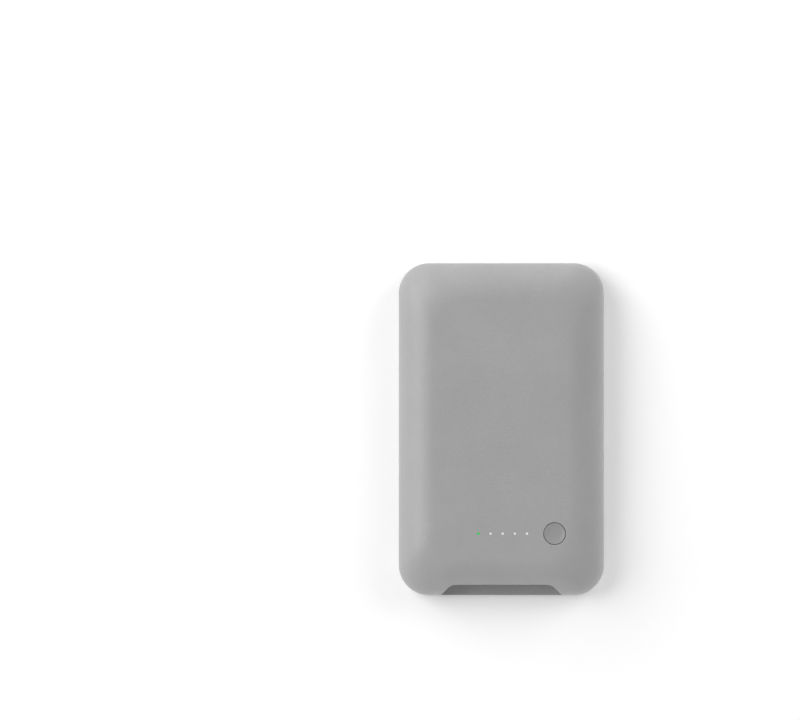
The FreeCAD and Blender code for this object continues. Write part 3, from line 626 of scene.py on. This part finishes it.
holders = bmesh.new()
side_tongue, end_tongue = (TONGUE_HALF, END_Y - CORNER_R), (SIDE_X - CORNER_R, TONGUE_HALF)
side_nest, end_nest = (NEST_HALF, NEST_LENGTH_HALF), (NEST_LENGTH_HALF, NEST_HALF)
tongue_inset = TONGUE_INSET + TONGUE_HALF
tongue_x, tongue_y = SIDE_X - tongue_inset, END_Y - tongue_inset
for side in (-1, 1):
    upright(holders, side * tongue_x, 0, (*side_tongue, foot_z), (*side_tongue, TONGUE_TOP_Z))
    upright(holders, COIL_X + side * NEST_REACH, COIL_Y, (*side_nest, foot_z), (*side_nest, NEST_TOP_Z))
    for x, y in (BACK_PILLAR, PORT_PILLAR, SOCKET_PROP):
        upright(holders, side * x, y, (*pillar, foot_z), (*pillar, BOARD_LOW_Z))
upright(holders, 0, tongue_y, (*end_tongue, foot_z), (*end_tongue, TONGUE_TOP_Z))
upright(holders, COIL_X, COIL_Y + NEST_REACH, (*end_nest, foot_z), (*end_nest, NEST_TOP_Z))

inside = (BAR_MAGNET_HALF_X + NEST_SLACK, BAR_MAGNET_HALF_Y + NEST_SLACK)
outside = [half + 2 * NEST_HALF for half in inside]
nest = [(*outside, foot_z), (*outside, NEST_TOP_Z), (*inside, NEST_TOP_Z), (*inside, foot_z)]
nest_rows = sections(COIL_X, BAR_MAGNET_Y, nest)
skin(holders, nest_rows + nest_rows[:1])
combine(flat_back, solid_object(holders, "holders"), "UNION")

beads = bmesh.new()
snap_beads(beads, 0)
combine(flat_back, solid_object(beads, "beads"), "UNION")
dress(flat_back, "housing", "cover_plastic", "rear_cover")

# %% [markdown]
# ## Push button
# A small round cap in a narrow gap, dished so that a fingertip finds it. It is a turned form. A screw
# modifier could spin it, but rows of circles need no modifier, so one half of its section is enough: the
# dish, a rounded edge, the side, the flange that keeps it in, and the stem.

# %% Turn the push button
BUTTON_TOP_Z, DISH, DISH_POWER, BUTTON_EDGE_R = 14.9, 0.42, 3.0, 0.15
DISH_STEPS = 16
FLANGE_R, FLANGE_TOP_Z, FLANGE_LOW_Z = 4.5, 10.95, 10.2
STEM_R, STEM_LOW_Z = 1.6, 8.9

rim_r = BUTTON_R - BUTTON_EDGE_R
shares = [k / DISH_STEPS for k in range(DISH_STEPS + 1)]
section = [(rim_r * share, BUTTON_TOP_Z - DISH * (1 - share**DISH_POWER)) for share in shares]
section += [
    (rim_r + BUTTON_EDGE_R * math.sin(a), BUTTON_TOP_Z - BUTTON_EDGE_R * (1 - math.cos(a))) for a in quarter
]
section += [(BUTTON_R, FLANGE_TOP_Z), (FLANGE_R, FLANGE_TOP_Z), (FLANGE_R, FLANGE_LOW_Z)]
section += [(STEM_R, FLANGE_LOW_Z), (STEM_R, STEM_LOW_Z), (0, STEM_LOW_Z)]
button = bmesh.new()
skin(button, turned(section, BUTTON_X, BUTTON_Y, ROUND_STEPS))
dress(solid_object(button, "push_button"), "button", "button_plastic", "power_button")

# %% [markdown]
# ## Charge lights
# The five lights are the tips of one clear acrylic moulding that carries light up from the board. The first
# is lit green and the others white. Lamps under clear tips would be true to life but grainy in the picture,
# so each tip gets a slight dome and glows by itself, and the bar below stays clear.

# %% A lit tip
ACRYLIC_IOR = 1.49
# Size of the cloudy patches in a lit tip
CLOUD_MM = 0.5


def glowing_tip(name, hex_unlit, hex_core, hex_edge):
    """A lit acrylic tip, a little uneven where the light comes up through it."""
    material, tree, place = new_finish(name)
    cloud = add_node(tree, "ShaderNodeTexNoise", {"Vector": place, "Scale": per_mm(CLOUD_MM), "Detail": 1})
    glow = add_node(tree, "ShaderNodeValToRGB", {"Fac": cloud.outputs["Fac"]})
    glow.color_ramp.elements[0].color = linear(hex_edge)
    glow.color_ramp.elements[1].color = linear(hex_core)
    surface = {
        "Base Color": linear(hex_unlit),
        "Roughness": 0.25,
        "IOR": ACRYLIC_IOR,
        "Specular IOR Level": 0.1,
        "Emission Color": glow.outputs["Color"],
        "Emission Strength": 1.0,
    }
    shader = add_node(tree, "ShaderNodeBsdfPrincipled", surface)
    add_node(tree, "ShaderNodeOutputMaterial", {"Surface": shader.outputs["BSDF"]})
    return material


print("cloudy patches", CLOUD_MM, "mm")

# %% Light finishes
# Width and height of the faint waves on a moulded face
WAVE_MM, WAVE_RISE_MM = 2, 0.1


def clear_acrylic(name):
    """Clear moulded acrylic, with the faint waviness of a moulded face."""
    material, tree, place = new_finish(name)
    wave = add_node(tree, "ShaderNodeTexNoise", {"Vector": place, "Scale": per_mm(WAVE_MM), "Detail": 1})
    relief = {"Height": wave.outputs["Fac"], "Strength": 0.1, "Distance": WAVE_RISE_MM * MM}
    bump = add_node(tree, "ShaderNodeBump", relief)
    surface = {
        "Base Color": linear("#f4f7f4"),
        "Roughness": 0.08,
        "IOR": ACRYLIC_IOR,
        "Transmission Weight": 1.0,
        "Normal": bump.outputs["Normal"],
    }
    shader = add_node(tree, "ShaderNodeBsdfPrincipled", surface)
    add_node(tree, "ShaderNodeOutputMaterial", {"Surface": shader.outputs["BSDF"]})
    return material


# Moulded acrylic: clear as glass, with a faint wave in what shows through it
finishes["clear_acrylic"] = clear_acrylic("clear_moulded_acrylic")
# The same acrylic lit from below: a soft, nearly even glow with hardly a highlight
white_tip = glowing_tip("white_lit_acrylic", "#6e6e6e", "#dedede", "#d2d2d2")
green_tip = glowing_tip("green_lit_acrylic", "#083a18", "#20d658", "#1cca50")
print("finishes:", len(finishes) + 2)

# %% Build the row of lights
BAR_HALF_X, BAR_HALF_Y, BAR_CORNER = 11.3, 1.4, 0.3
LEG_LOW_Z, LEG_HALF, LEG_CORNER = 7.1, 0.6, 0.15
TIP_TOP_Z, TIP_DOME = 14.95, 0.06
# Places of the finishes on the row of lights
CLEAR, WHITE_LIT, GREEN_LIT = 0, 1, 2


def upright_bar(mesh, x, half_x, half_y, corner, z_low, z_high):
    """A closed upright bar with rounded corners."""
    run = [(0, -half_y)] + right_half_outline(half_x, half_y, corner, half_x / 2)
    outline = [(x + px, LIGHT_Y + py) for px, py in mirrored(run)]
    ends = [[(x, LIGHT_Y, z)] for z in (z_low, z_high)]
    skin(mesh, [ends[0], lifted(outline, z_low), lifted(outline, z_high), ends[1]], CLEAR)


bar, pin_holes, grown = bmesh.new(), bmesh.new(), bmesh.new()
upright_bar(bar, LIGHT_MID_X, BAR_HALF_X, BAR_HALF_Y, BAR_CORNER, BAR_LOW_Z, BAR_TOP_Z)
hole = (PIN_HALF + PIN_SLACK, PIN_HALF + PIN_SLACK)
for x in pin_xs:
    upright(pin_holes, x, LIGHT_Y, (*hole, BAR_LOW_Z - SPARE), (*hole, BAR_TOP_Z + SPARE))
dome = [(LIGHT_PIP_R * math.cos(a), TIP_TOP_Z - TIP_DOME * (1 - math.sin(a))) for a in quarter[:-1]]
tip = [(0, BAR_TOP_Z - ROOT), (LIGHT_PIP_R, BAR_TOP_Z - ROOT)] + dome + [(0, TIP_TOP_Z)]
for number, x in enumerate(light_xs):
    upright_bar(grown, x, LEG_HALF, LEG_HALF, LEG_CORNER, LEG_LOW_Z, BAR_LOW_Z + ROOT)
    skin(grown, turned(tip, x, LIGHT_Y, PIP_STEPS), GREEN_LIT if number == 0 else WHITE_LIT)
light_row, legs_and_tips = solid_object(bar, "light_row"), solid_object(grown, "legs_and_tips")
for finish in (finishes["clear_acrylic"], white_tip, green_tip):
    light_row.data.materials.append(finish)
    legs_and_tips.data.materials.append(finish)
combine(light_row, solid_object(pin_holes, "pin_holes"), "DIFFERENCE")
combine(light_row, legs_and_tips, "UNION")
dress(light_row, "housing", "clear_acrylic", "light_guide")

# %% [markdown]
# ## Charging socket
# Behind the bay a steel sleeve shows in its bevelled mouth. It is drawn from sheet, so its lip is rounded
# over. A sheet thickened by a modifier would have a square lip, so the rows go round the front lip from the
# outside to the inside, along the inside to the far end, round that, and along the outside to the first
# row again.

# %% Rows of the socket sleeve
SOCKET_FRONT_Y, SOCKET_BACK_Y, SHEET = -51.0, -43.65, 0.3
LIP_STEPS = 8

rows = []
for end_y, inward, first in ((SOCKET_FRONT_Y, 1, 0), (SOCKET_BACK_Y, -1, LIP_STEPS)):
    for k in range(LIP_STEPS + 1):
        angle = math.pi * abs(first - k) / LIP_STEPS
        inset = SHEET / 2 * (1 - math.cos(angle))
        y = end_y + inward * SHEET / 2 * (1 - math.sin(angle))
        rows.append(slot_outline(SOCKET_WIDTH - 2 * inset, SOCKET_HEIGHT - 2 * inset, y))
sleeve = bmesh.new()
skin(sleeve, rows + rows[:1])
print("sleeve rows:", len(rows))

# %% [markdown]
# ## Metals
# Drawn steel, nickel, gold plate and foil differ in colour and in how they were worked. Rolling and drawing
# leave fine lines along one axis; plating leaves an even satin. An anisotropic shader could draw out the
# highlight, but noise that is stretched along the axis shows the lines as well. The real lines are some
# hundredths of a millimetre apart, too fine to show, so they are drawn coarser. A metal keeps the default
# IOR: its colour is what it reflects.

# %% A worked metal
# Height of a line as a share of its width
LINE_RISE = 0.1


def worked_metal(name, hex_light, hex_dark, gloss, line_mm, stretch, depth):
    """Metal with the lines of its working; gloss is its lowest and highest roughness."""
    material, tree, place = new_finish(name)
    lay = add_node(tree, "ShaderNodeMapping", {"Vector": place, "Scale": stretch})
    noise = {"Vector": lay.outputs["Vector"], "Scale": per_mm(line_mm), "Detail": 3}
    lines = add_node(tree, "ShaderNodeTexNoise", noise)
    tone = add_node(tree, "ShaderNodeValToRGB", {"Fac": lines.outputs["Fac"]})
    tone.color_ramp.elements[0].color = linear(hex_dark)
    tone.color_ramp.elements[1].color = linear(hex_light)
    spread = {"From Min": NOISE_LOW, "From Max": NOISE_HIGH, "To Min": gloss[0], "To Max": gloss[1]}
    rough = add_node(tree, "ShaderNodeMapRange", {"Value": lines.outputs["Fac"]} | spread)
    relief = {"Height": lines.outputs["Fac"], "Strength": depth, "Distance": line_mm * LINE_RISE * MM}
    bump = add_node(tree, "ShaderNodeBump", relief)
    surface = {
        "Base Color": tone.outputs["Color"],
        "Metallic": 1.0,
        "Roughness": rough.outputs["Result"],
        "Normal": bump.outputs["Normal"],
    }
    shader = add_node(tree, "ShaderNodeBsdfPrincipled", surface)
    add_node(tree, "ShaderNodeOutputMaterial", {"Surface": shader.outputs["BSDF"]})
    return material


print("lines rise", LINE_RISE, "of their width")

# %% Metal finishes
# Lines along one axis are ten times as long as they are wide
ALONG_X, ALONG_Y, EVEN = (0.1, 1, 1), (1, 0.1, 1), (1, 1, 1)
STEEL, GOLD, PLATE = ("#c9c8c6", "#b4b3b1"), ("#e3c06a", "#d3ad54"), ("#cfcabf", "#bdb8ad")
STRIP, FOIL = ("#c8c4ba", "#b0aca2"), ("#cdced0", "#b9babd")
finishes |= {
    # Drawn stainless: cool grey, its highlight drawn out along the sleeve
    "socket_steel": worked_metal("drawn_stainless_steel", *STEEL, (0.22, 0.32), 0.2, ALONG_Y, 0.2),
    # Gold plate on drawn bronze: warm and bright
    "contact_gold": worked_metal("gold_plated_bronze", *GOLD, (0.2, 0.3), 0.2, ALONG_Y, 0.1),
    # Nickel plate: a warm satin mirror
    "magnet_nickel": worked_metal("bright_nickel_plate", *PLATE, (0.16, 0.26), 0.6, EVEN, 0.2),
    # Rolled nickel: lines along the strip dull it
    "tab_nickel": worked_metal("rolled_nickel_strip", *STRIP, (0.25, 0.36), 0.25, ALONG_X, 0.25),
    # Laminated foil: a wide soft rumple
    "pouch_foil": worked_metal("laminated_pouch_foil", *FOIL, (0.3, 0.42), 3.0, EVEN, 0.6),
}
dress(solid_object(sleeve, "socket_sleeve"), "housing", "socket_steel", "socket_shell")

# %% [markdown]
# ## Boards, coil and ferrite
# The pieces inside are mostly hidden, but they stay in the part and get their own finishes. What gives them
# away is a pattern: copper runs under the green mask of a board, the turns of a wound coil, the scored cells
# that let a ferrite sheet bend, and the grain of a sintered body. A picture could be wrapped round each, but
# a pattern from nodes is sharp from any distance and needs no unwrapping.

# %% A finish led by a pattern
# Strength of the bump in these finishes
RELIEF = 0.6


def patterned(name, pattern, colours, stops, gloss, depth_mm, **extra):
    """A finish led by one pattern: pattern makes it, the ramp colours it, the bump raises it."""
    material, tree, place = new_finish(name)
    height = pattern(tree, place)
    tone = add_node(tree, "ShaderNodeValToRGB", {"Fac": height})
    for element, colour, stop in zip(tone.color_ramp.elements, colours, stops):
        element.color, element.position = linear(colour), stop
    relief = {"Height": height, "Strength": RELIEF, "Distance": depth_mm * MM}
    bump = add_node(tree, "ShaderNodeBump", relief)
    surface = {"Base Color": tone.outputs["Color"], "Roughness": gloss, "Normal": bump.outputs["Normal"]}
    shader = add_node(tree, "ShaderNodeBsdfPrincipled", surface | extra)
    add_node(tree, "ShaderNodeOutputMaterial", {"Surface": shader.outputs["BSDF"]})
    return material


print("relief strength", RELIEF)

# %% Patterns of the inner pieces
RUN_MM, TURN_MM, CELL_MM = 1.4, 0.9, 2
# The real grain is too fine to see, so it is drawn at this size to show
SINTER_MM = 0.3
# A ring wave repeats at this step of its scaled radius
RING_STEP = math.pi / 10


def copper_runs(tree, place):
    """Runs of copper that step round square corners."""
    cells = {"Vector": place, "Scale": per_mm(RUN_MM), "Randomness": 0.7}
    return add_node(tree, "ShaderNodeTexVoronoi", cells, distance="CHEBYCHEV").outputs["Distance"]


def wound_turns(tree, place):
    """Rings round the coil's middle, one for each turn of wire."""
    middle = (-COIL_X * MM, -COIL_Y * MM, 0)
    centred = add_node(tree, "ShaderNodeMapping", {"Vector": place, "Location": middle})
    rings = {"Vector": centred.outputs["Vector"], "Scale": per_mm(TURN_MM) * RING_STEP}
    return add_node(tree, "ShaderNodeTexWave", rings, wave_type="RINGS", rings_direction="Z").outputs["Fac"]


def scored_cells(tree, place):
    """Nearly square cells with fine grooves between them."""
    cells = {"Vector": place, "Scale": per_mm(CELL_MM), "Randomness": 0.25}
    return add_node(tree, "ShaderNodeTexVoronoi", cells, feature="DISTANCE_TO_EDGE").outputs["Distance"]


def sintered_grain(tree, place):
    """The even grain of a pressed and fired body."""
    grain = {"Vector": place, "Scale": per_mm(SINTER_MM), "Detail": 3}
    return add_node(tree, "ShaderNodeTexNoise", grain).outputs["Fac"]


print("runs", RUN_MM, "mm, turns", TURN_MM, "mm, cells", CELL_MM, "mm")

# %% Patterned finishes
# The ferrite sheet's dark colour is painted shade in its grooves
# The wire's dark colour is painted shade between its turns
MASK, COPPER_AND_GROOVE_SHADE, FERRITE_AND_GROOVE_SHADE = ("#0f4a2c", "#1a6a40"), ("#7a4420", "#c27a44"), ("#19191b", "#3a3a3d")
CERAMIC, SINTERED, WHITE_RESIN = ("#a08457", "#b89a6a"), ("#26262a", "#3c3c40"), ("#d9d6c4", "#efede4")
finishes |= {
    # Glass epoxy under solder mask: glossy green, paler over the copper
    "board_laminate": patterned("masked_glass_epoxy_board", copper_runs, MASK, (0.42, 0.5), 0.3, 0.03),
    # Enamelled wire, wound: copper rings, with painted shade darkening the lines between the turns
    "copper_wire": patterned(
        "enamelled_copper_turns", wound_turns, COPPER_AND_GROOVE_SHADE, (0.0, 0.6), 0.28, 0.2, Metallic=1.0
    ),
    # Ferrite, fired and scored: slate grey, with painted shade darkening the grooves
    "ferrite_sheet": patterned("scored_ferrite_sheet", scored_cells, FERRITE_AND_GROOVE_SHADE, (0.02, 0.08), 0.42, 0.05),
    # Fired ceramic: biscuit brown with a faint speckle
    "capacitor_ceramic": patterned("fired_ceramic", sintered_grain, CERAMIC, (0.35, 0.65), 0.45, 0.02),
    # Pressed ferrite: charcoal and stony
    "choke_ferrite": patterned("sintered_ferrite", sintered_grain, SINTERED, (0.35, 0.65), 0.6, 0.05),
    # Moulded resin with phosphor: creamy white
    "led_package": patterned("moulded_white_resin", sintered_grain, WHITE_RESIN, (0.35, 0.65), 0.4, 0.01),
}
print("finishes:", sorted(finishes))

# %% Dress the solids that stay
for row in frame["record"]["subparts"]:
    solid = frame["nodes"][row["node"]]
    solid.data.materials.clear()
    solid.data.materials.append(finishes[row["material_slot"]])
print("solids dressed:", len(frame["nodes"]))

# %% [markdown]
# ## Floor, sky and lamps
# The pack lies on a plain white floor. A plain plane would hide the bare back, so the floor is open under
# the pack and clear from below. To the eye and in reflections the sky is plain white; the light that it
# gives is set apart. A lamp's level is how bright a white card that faces it would be, and the levels are
# chosen to add up to about 1 on the flat top, so that a colour renders about as it is written. The key comes
# from the left. The fills lie low round the pack and stay out of reflections, where they would glare on the
# flat top, and a lamp below lights the back.

# %% Floor
# The floor lies just below the pack, so that the two faces don't flicker
FLOOR_Z, OPENING_INSET, FLOOR_SPREAD = -0.05, 0.7, 40

opening = plate_outline(OPENING_INSET)
far_edge = [(x * FLOOR_SPREAD, y * FLOOR_SPREAD) for x, y in opening]
ground = bmesh.new()
skin(ground, [lifted(far_edge, FLOOR_Z), lifted(opening, FLOOR_Z)])
floor = solid_object(ground, "floor")
if floor.data.polygons[0].normal.z < 0:
    floor.data.flip_normals()
print("floor", [round(v, 2) for v in floor.dimensions], "m")

# %% Finish of the floor
# Extra light that the eye gets from the floor, so that its open part is white
FLOOR_LIFT = 0.12
# Real fibres are finer, and are drawn as clouds of this size so that they show
FIBRE_MM = 4

# Matte card: white with no gloss, a little cloudy
material, tree, place = new_finish("matte_white_card")
fibre = add_node(tree, "ShaderNodeTexNoise", {"Vector": place, "Scale": per_mm(FIBRE_MM), "Detail": 2})
tone = add_node(tree, "ShaderNodeValToRGB", {"Fac": fibre.outputs["Fac"]})
tone.color_ramp.elements[0].color = linear("#f6f6f6")
tone.color_ramp.elements[1].color = linear("#fafafa")
card = add_node(tree, "ShaderNodeBsdfDiffuse", {"Color": tone.outputs["Color"]})
ray = add_node(tree, "ShaderNodeLightPath").outputs
lift = add_node(tree, "ShaderNodeMath", {0: ray["Is Camera Ray"], 1: FLOOR_LIFT}, operation="MULTIPLY")
glow = add_node(tree, "ShaderNodeEmission", {"Strength": lift.outputs[0]})
lit_card = add_node(tree, "ShaderNodeAddShader", {0: card.outputs[0], 1: glow.outputs[0]})
mirrors = {0: ray["Is Glossy Ray"], 1: ray["Is Transmission Ray"]}
in_mirrors = add_node(tree, "ShaderNodeMath", mirrors, operation="MAXIMUM")
white = add_node(tree, "ShaderNodeEmission", {"Strength": 1.0})
upper = {"Fac": in_mirrors.outputs[0], 1: lit_card.outputs[0], 2: white.outputs[0]}
upper_face = add_node(tree, "ShaderNodeMixShader", upper)
lower_side = add_node(tree, "ShaderNodeNewGeometry").outputs["Backfacing"]
from_below = add_node(tree, "ShaderNodeMath", {0: ray["Is Camera Ray"], 1: lower_side}, operation="MULTIPLY")
clear = add_node(tree, "ShaderNodeBsdfTransparent")
both = {"Fac": from_below.outputs[0], 1: upper_face.outputs[0], 2: clear.outputs[0]}
both_faces = add_node(tree, "ShaderNodeMixShader", both)
add_node(tree, "ShaderNodeOutputMaterial", {"Surface": both_faces.outputs[0]})
floor.data.materials.append(material)
print("floor finish:", material.name)

# %% Sky
SKY_LEVEL = 0.3

sky = bpy.data.worlds.new("white_sky")
bpy.context.scene.world = sky
sky.use_nodes = True
tree = sky.node_tree
tree.nodes.clear()
ray = add_node(tree, "ShaderNodeLightPath").outputs
seen = ray["Is Camera Ray"]
for kind in ("Is Glossy Ray", "Is Transmission Ray"):
    seen = add_node(tree, "ShaderNodeMath", {0: seen, 1: ray[kind]}, operation="MAXIMUM").outputs[0]
level = {"Value": seen, "To Min": SKY_LEVEL, "To Max": 1.0}
strength = add_node(tree, "ShaderNodeMapRange", level).outputs["Result"]
background = add_node(tree, "ShaderNodeBackground", {"Color": (1, 1, 1, 1), "Strength": strength})
add_node(tree, "ShaderNodeOutputWorld", {"Surface": background.outputs[0]})
print("sky level", SKY_LEVEL)

# %% Lamps
# Metres from the pack to each lamp
LAMP_DISTANCE = 1.2


def soft_lamp(name, azimuth, elevation, size, level, in_gloss=True):
    """A square soft lamp that looks at the pack from a bearing, where 0 is +X, and a height in degrees."""
    lamp_data = bpy.data.lights.new(name, "AREA")
    lamp_data.size = size
    lamp_data.energy = level * (math.pi * LAMP_DISTANCE) ** 2
    lamp = bpy.data.objects.new(name, lamp_data)
    turn, rise = math.radians(azimuth), math.radians(elevation)
    lamp.rotation_euler = (math.pi / 2 - rise, 0, turn + math.pi / 2)
    reach = LAMP_DISTANCE * math.cos(rise)
    lamp.location = (reach * math.cos(turn), reach * math.sin(turn), LAMP_DISTANCE * math.sin(rise))
    lamp.visible_glossy = in_gloss
    bpy.context.scene.collection.objects.link(lamp)
    return lamp


lamps = [
    soft_lamp("left_key", 160, 36, 0.9, 0.66),
    soft_lamp("left_accent", 180, 36, 0.4, 0.06),
    soft_lamp("far_fill", 130, 6, 0.9, 0.64, in_gloss=False),
    soft_lamp("right_fill", 30, 22, 0.9, 0.59, in_gloss=False),
    soft_lamp("near_fill", 270, 6, 0.9, 0.64, in_gloss=False),
    soft_lamp("under_lamp", 120, -70, 0.9, 0.65),
]
print("lamps:", [lamp.name for lamp in lamps])
